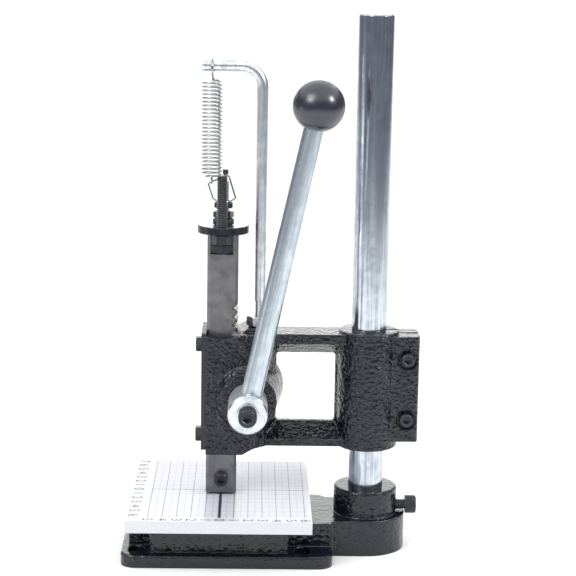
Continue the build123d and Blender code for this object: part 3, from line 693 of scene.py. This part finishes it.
def guide_plate_bolts():
    low, high = node_box("guide_plate_bolts")
    flats = high.y - low.y
    seat_x = low.x + PLATE_BOLT_HEAD_HEIGHT
    middle_y = (low.y + high.y) / 2
    corner = flats / math.sqrt(3)
    parts = []
    for z in (low.z + corner, high.z - corner):
        parts.append(hex_head(stand((seat_x, middle_y, z), LEFT), PLATE_BOLT_HEAD_HEIGHT, flats))
        parts.append(screw_thread(stand((high.x, middle_y, z), LEFT), high.x - seat_x, M6, M6_PITCH))
    add_piece("guide_plate_bolts_chamfered", join_meshes(parts), OXIDE, "head",
              ["guide_plate_bolts"])


def hub_screw():
    low, high = node_box("hub_screw")
    radius = (high.x - low.x) / 2
    seat = Vector(((low.x + high.x) / 2, low.y + 2 * M8, (low.z + high.z) / 2))
    parts = [
        socket_head(stand(seat, TOWARDS_OPERATOR, 0.35), radius, 2 * M8, M8_KEY),
        screw_thread(stand((seat.x, high.y, seat.z), TOWARDS_OPERATOR), high.y - seat.y, M8, M8_PITCH),
    ]
    add_piece("hub_screw_knurled", join_meshes(parts), OXIDE, "lever", ["hub_screw"])


def column_lock_screw():
    low, high = node_box("column_lock_screw")
    radius = (high.y - low.y) / 2
    seat = Vector((high.x - 2 * M8, 0, (low.z + high.z) / 2))
    head = socket_head(stand(seat, RIGHT), radius, 2 * M8, M8_KEY)
    thread = screw_thread(stand((low.x, 0, seat.z), RIGHT), seat.x - low.x, M8, M8_PITCH)
    add_piece("column_lock_screw_head", head, OXIDE, "lock_screw", ["column_lock_screw"])
    add_piece("column_lock_screw_thread", thread, THREAD_OXIDE, "lock_screw")


def hanger():
    """Bent hanger rod, threaded where it screws into the head, and its lock nut."""
    low, high = node_box("hanger_rod")
    radius = (high.y - low.y) / 2
    rod_x = high.x - radius
    top_z = high.z - radius
    nut_low, nut_high = node_box("hanger_lock_nut")
    thread_top = nut_high.z + HANGER_THREAD_SHOWN
    bend_centre = Vector((rod_x - HANGER_BEND, 0, top_z - HANGER_BEND))
    points = [Vector((rod_x, 0, thread_top)), Vector((rod_x, 0, bend_centre.z))]
    bend_steps = 16
    for i in range(1, bend_steps + 1):
        angle = math.pi / 2 * i / bend_steps
        points.append(bend_centre + HANGER_BEND * Vector((math.cos(angle), 0, math.sin(angle))))
    points.append(Vector((low.x, 0, top_z)))
    parts = [
        tube(points, radius, 40),
        screw_thread(stand((rod_x, 0, low.z)), thread_top - low.z + 1.5 * MM, radius, M8_PITCH),
    ]
    add_piece("hanger_rod_threaded", join_meshes(parts), HANGER_METAL, "head", ["hanger_rod"])
    made = nut(stand((rod_x, 0, nut_low.z)), nut_high.z - nut_low.z, nut_high.y - nut_low.y, NUT_HOLE_M8)
    add_piece("hanger_lock_nut_chamfered", made, HANGER_METAL, "head", ["hanger_lock_nut"])


# --- Knob and return spring ---

KNOB_FLAT = 0.9                     # distance of the foot's flat from the middle, of the radius
COLLAR_RADIUS = 5.2 * MM
COLLAR_DEPTH = 1 * MM
POLE_RADIUS = 0.2 * MM
WIRE_RADIUS = 0.68 * MM
COILS = 26
POINTS_PER_COIL = 28
LOWER_HOOK_RADIUS = 2.85 * MM
UPPER_HOOK_RADIUS = 6.0 * MM
LOWER_HOOK_Y = 1.9 * MM
LOWER_HOOK_NECK = 2.5 * MM          # from the hook's middle to the first coil
UPPER_HOOK_NECK = 8.8 * MM
CLOSING_TURNS = 0.6                 # over which the end coils draw in to half width
LOWER_HOOK_ARC = range(130, 391, 10)        # degrees
UPPER_HOOK_ARC = range(-70, 231, 8)

def knob():
    """Moulded ball on the lever, with a small flat and a short collar at its foot."""
    low, high = node_box("ball_knob")
    radius = (high.y - low.y) / 2
    lean = Vector((math.sin(LEVER_LEAN), 0, math.cos(LEVER_LEAN)))
    centre = Vector((high.x - radius, (low.y + high.y) / 2, high.z - radius))
    flat = KNOB_FLAT * radius
    start = math.asin(-flat / radius)
    rows = [(COLLAR_RADIUS, COLLAR_DEPTH - flat), (COLLAR_RADIUS, -flat)]
    rows.append((radius * math.cos(start) * 0.9, -flat))
    steps = 46
    for i in range(steps + 1):
        angle = start + (math.pi / 2 - start) * i / steps
        rows.append((max(radius * math.cos(angle), POLE_RADIUS), radius * math.sin(angle)))
    add_piece("ball_knob_moulded", turned(stand(centre, lean), rows, 96), KNOB_PLASTIC, "lever",
              ["ball_knob"], 50)


def bridge(start, start_way, end, end_way, steps):
    """Points on a smooth curve from start to end that leaves and arrives in the given directions."""
    reach = (end - start).length
    first, last = start_way.normalized() * reach, end_way.normalized() * reach
    points = []
    for i in range(1, steps):
        t = i / steps
        a, b = 2 * t ** 3 - 3 * t ** 2 + 1, t ** 3 - 2 * t ** 2 + t
        c, d = -2 * t ** 3 + 3 * t ** 2, t ** 3 - t ** 2
        points.append(a * start + b * first + c * end + d * last)
    return points


def on_hook(centre, radius, degrees):
    angle = math.radians(degrees)
    return centre + radius * Vector((0, math.cos(angle), math.sin(angle)))


def coil(x, radius, low, high):
    """Points along an even coil whose ends draw in to half its width."""
    steps = (COILS - 0.25) * POINTS_PER_COIL
    points = []
    for i in range(int(steps) + 1):
        from_end = min(i, steps - i) / (CLOSING_TURNS * POINTS_PER_COIL)
        reach = radius * (0.5 + 0.5 * min(from_end, 1) ** 0.5)
        angle = math.pi + 2 * math.pi * i / POINTS_PER_COIL
        height = low + (high - low) * i / steps
        points.append(Vector((x + reach * math.cos(angle), reach * math.sin(angle), height)))
    return points


def return_spring():
    """One drawn wire: a closed hook, 26 even coils and an open hook over the hanger rod."""
    low, high = node_box("return_spring")
    x = (low.x + high.x) / 2
    lower_hook = Vector((x, LOWER_HOOK_Y, low.z + WIRE_RADIUS + LOWER_HOOK_RADIUS))
    upper_hook = Vector((x, 0, high.z - WIRE_RADIUS - UPPER_HOOK_RADIUS))
    coil_low = lower_hook.z + LOWER_HOOK_NECK
    coil_high = upper_hook.z - UPPER_HOOK_NECK
    coils = coil(x, (high.y - low.y) / 2 - WIRE_RADIUS, coil_low, coil_high)
    points = [on_hook(lower_hook, LOWER_HOOK_RADIUS, degrees) for degrees in LOWER_HOOK_ARC]
    points += bridge(points[-1], Vector((0, -0.5, 0.87)), coils[0], Vector((0, -1, 0.06)), 12)
    points += coils
    open_hook = [on_hook(upper_hook, UPPER_HOOK_RADIUS, degrees) for degrees in UPPER_HOOK_ARC]
    points += bridge(coils[-1], Vector((1, 0, 0.06)), open_hook[0], Vector((0, 0.94, 0.34)), 14)
    points += open_hook
    made = add_piece("return_spring_wire", tube(points, WIRE_RADIUS, 12), SPRING_METAL, None,
                     ["return_spring"], 60)
    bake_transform(made)


# --- Printed centimetre grid and grease ---

CENTIMETRE = 10 * MM
INK_LIFT = 0.02 * MM                # each layer of print lies a little higher, so that none share a plane
GRID_X = (-5.15 * CENTIMETRE, 6.2 * CENTIMETRE)
GRID_Y = (-6.45 * CENTIMETRE, 7.1 * CENTIMETRE)
COLUMNS = range(-5, 7)
ROWS = range(-6, 8)
NUMBER_FRONT_Y = -69.5 * MM
NUMBER_LEFT_X = -60.4 * MM
DIGIT_SIZE = 10.5 * MM
TOOTH_PITCH = 2 * math.pi * MM
FIRST_GREASED_Z = 178.4 * MM
GREASED_X = 9.3 * MM
SMEAR_SHAPE = (0.8, 1.25, 0.75)     # its half sizes along X, Y and Z, of its size
LUMP_HEIGHT = 0.55
LUMPS_PER_SMEAR = 1.7
GREASE_SPOTS = ((-9.4, 1.35), (-6.8, 1.1), (-3.0, 0.9), (2.5, 1.0), (7.5, 1.2))     # y and size, both in mm


def flat_strip(x, y, height):
    """A flat rectangle on the board from (low, high) pairs."""
    corners = [(x[0], y[0]), (x[1], y[0]), (x[1], y[1]), (x[0], y[1])]
    return [Vector((cx, cy, height)) for cx, cy in corners], [(0, 1, 2, 3)]


def grid_lines(name, material, across, along, wide, layer):
    """Printed lines: at X = each of across, and at Y = each of along."""
    height = BOARD_TOP + layer * INK_LIFT
    parts = [flat_strip((x - wide / 2, x + wide / 2), GRID_Y, height) for x in across]
    parts += [flat_strip(GRID_X, (y - wide / 2, y + wide / 2), height) for y in along]
    add_piece(name, join_meshes(parts), material, "board")


def printed_grid():
    half_columns = [(i + 0.5) * CENTIMETRE for i in COLUMNS[:-1]]
    half_rows = [(i + 0.5) * CENTIMETRE for i in ROWS[:-1]]
    grid_lines("grid_half_rows", FINE_INK, [], half_rows, 0.25 * MM, 0.7)
    grid_lines("grid_half_columns", FINE_INK, half_columns, [], 0.25 * MM, 1)
    grid_lines("grid_cross_lines", FINE_INK, [], [i * CENTIMETRE for i in ROWS if i], 0.6 * MM, 1.5)
    grid_lines("grid_lines", LINE_INK, [i * CENTIMETRE for i in COLUMNS if i], [], 0.4 * MM, 2)
    grid_lines("grid_zero_line", LINE_INK, [], [0], 0.8 * MM, 2.5)
    grid_lines("grid_middle_band", LINE_INK, [0], [], 2.3 * MM, 3)
    grid_lines("grid_middle_line", DARK_INK, [0], [], 1.1 * MM, 3.5)


def printed_numbers():
    """Scale numbers lying on their sides along the board's front and left edges."""
    places = [(abs(i), i * CENTIMETRE, NUMBER_FRONT_Y) for i in COLUMNS]
    places += [(abs(i), NUMBER_LEFT_X, i * CENTIMETRE) for i in ROWS]
    parts = []
    for number, x, y in places:
        text = bpy.data.curves.new("number", "FONT")
        text.body = str(number)
        text.size = DIGIT_SIZE
        text.align_x = "CENTER"
        text.align_y = "CENTER"
        holder = bpy.data.objects.new("number", text)
        mesh = bpy.data.meshes.new_from_object(holder)
        place = Matrix.Translation((x, y, BOARD_TOP + 2 * INK_LIFT)) @ Matrix.Rotation(-math.pi / 2, 4, "Z")
        parts.append(([place @ v.co for v in mesh.vertices], [tuple(p.vertices) for p in mesh.polygons]))
        bpy.data.objects.remove(holder)
        bpy.data.curves.remove(text)
        bpy.data.meshes.remove(mesh)
    add_piece("grid_numbers", join_meshes(parts), DARK_INK, "board")


def rack_grease():
    """Smears of grease squeezed into the rack's teeth just above the head."""
    random.seed(5)
    parts = []
    for i in range(3):
        for y, size in GREASE_SPOTS:
            centre = Vector((GREASED_X, (y + random.uniform(-0.8, 0.8)) * MM,
                             FIRST_GREASED_Z - i * TOOTH_PITCH + random.uniform(-0.5, 0.3) * MM))
            parts.append(smear(centre, size * random.uniform(0.75, 1.15) * MM))
    add_piece("rack_grease", join_meshes(parts), GREASE, "ram", (), 80)


def smear(centre, size, rows=9, sides=18):
    """A lumpy blob, flattened on the side that faces the tooth."""
    lumps = []
    for i in range(rows):
        tilt = math.pi * (i + 0.5) / rows - math.pi / 2
        row = []
        for j in range(sides):
            turn = 2 * math.pi * j / sides
            way = Vector((math.cos(tilt) * math.cos(turn), math.cos(tilt) * math.sin(turn), math.sin(tilt)))
            swell = 1 + LUMP_HEIGHT * noise.noise(way * LUMPS_PER_SMEAR + centre * 900)
            row.append(centre + size * swell * Vector(a * b for a, b in zip(SMEAR_SHAPE, way)))
        lumps.append(row)
    return skin(lumps)


stop_bolt()
centre_post()
clamp_bolts()
guide_plate_bolts()
hub_screw()
column_lock_screw()
hanger()
knob()
return_spring()
printed_grid()
printed_numbers()
rack_grease()


# --- Floor, lights and camera ---

FLOOR_HALF = 40.0
CEILING_WHITE = (1.36, 1.36, 1.36, 1)
BACKDROP_WHITE = (2.1, 2.1, 2.1, 1)
CEILING_EDGE = (0.28, 0.6)          # the direction's Z where the ceiling begins and is full
BACKDROP_EDGE = (0.86, 0.95)        # the direction's Y where the backdrop begins and is full
SOFT_LIGHTS = (
    # name, place, aim, width, height, watts
    ("softbox_left", (-0.75, -0.85, 1.1), (0.03, 0, 0.25), 0.8, 0.8, 8.6),
    ("hot_spot_left", (-0.8, -0.95, 1.0), (0.03, 0, 0.25), 0.16, 0.16, 1.3),
    ("softbox_right", (1.08, -0.56, 0.95), (0.05, 0, 0.25), 0.36, 0.36, 7.6),
    ("panel_left", (-1.3, -0.15, 0.12), (0, 0, 0.12), 0.5, 0.22, 0.45),
)

def floor():
    corners = [(x * FLOOR_HALF, y * FLOOR_HALF, 0) for x, y in ((-1, -1), (1, -1), (1, 1), (-1, 1))]
    mesh = bpy.data.meshes.new("floor")
    mesh.from_pydata(corners, [], [(0, 1, 2, 3)])
    mesh.materials.append(floor_paper("floor_paper"))
    made = bpy.data.objects.new("floor", mesh)
    bpy.context.scene.collection.objects.link(made)


def soft_light(name, place, aim, width, height, power):
    data = bpy.data.lights.new(name, "AREA")
    data.shape = "RECTANGLE"
    data.size, data.size_y = width, height
    data.energy = power
    made = bpy.data.objects.new(name, data)
    made.location = place
    made.rotation_euler = (Vector(aim) - Vector(place)).to_track_quat("-Z", "Y").to_euler()
    made.visible_camera = False
    bpy.context.scene.collection.objects.link(made)


def studio_world():
    """A bright backdrop behind the object and a white ceiling, in a dim room."""
    world = bpy.data.worlds.new("studio")
    bpy.context.scene.world = world
    world.use_nodes = True
    tree = world.node_tree
    direction = add_node(tree, "TexCoord").outputs["Generated"]
    parts = add_node(tree, "SeparateXYZ", {0: direction})
    ceiling = spread(tree, parts.outputs[2], *CEILING_EDGE)
    backdrop = spread(tree, parts.outputs[1], *BACKDROP_EDGE)
    room = blend_colour(tree, ceiling, DIM_GREY, CEILING_WHITE)
    colour = blend_colour(tree, backdrop, room, BACKDROP_WHITE)
    tree.links.new(colour, tree.nodes["Background"].inputs["Color"])


CAMERA_PLACE = Vector((21.16, -1205.82, 422.24)) * MM
CAMERA_TURN = 0.02126               # radians
CAMERA_PITCH = 0.18905
CAMERA_ROLL = 0.0166
CAMERA_LENS = 106.8                 # mm, on a sensor 36 mm wide


def camera():
    """The camera at the photographed viewing angle."""
    level_reach = math.cos(CAMERA_PITCH)
    ahead = Vector((math.sin(CAMERA_TURN) * level_reach, math.cos(CAMERA_TURN) * level_reach,
                    -math.sin(CAMERA_PITCH)))
    level = ahead.cross(UP).normalized()
    raised = level.cross(ahead)
    right = math.cos(CAMERA_ROLL) * level + math.sin(CAMERA_ROLL) * raised
    upward = -math.sin(CAMERA_ROLL) * level + math.cos(CAMERA_ROLL) * raised
    data = bpy.data.cameras.new("camera")
    data.lens = CAMERA_LENS
    data.sensor_width = 36
    made = bpy.data.objects.new("camera", data)
    made.matrix_world = Matrix((right, upward, -ahead)).transposed().to_4x4()
    made.location = CAMERA_PLACE
    bpy.context.scene.collection.objects.link(made)
    bpy.context.scene.camera = made


floor()
studio_world()
camera()
for light in SOFT_LIGHTS:
    soft_light(*light)
bpy.context.scene.view_settings.view_transform = "Standard"
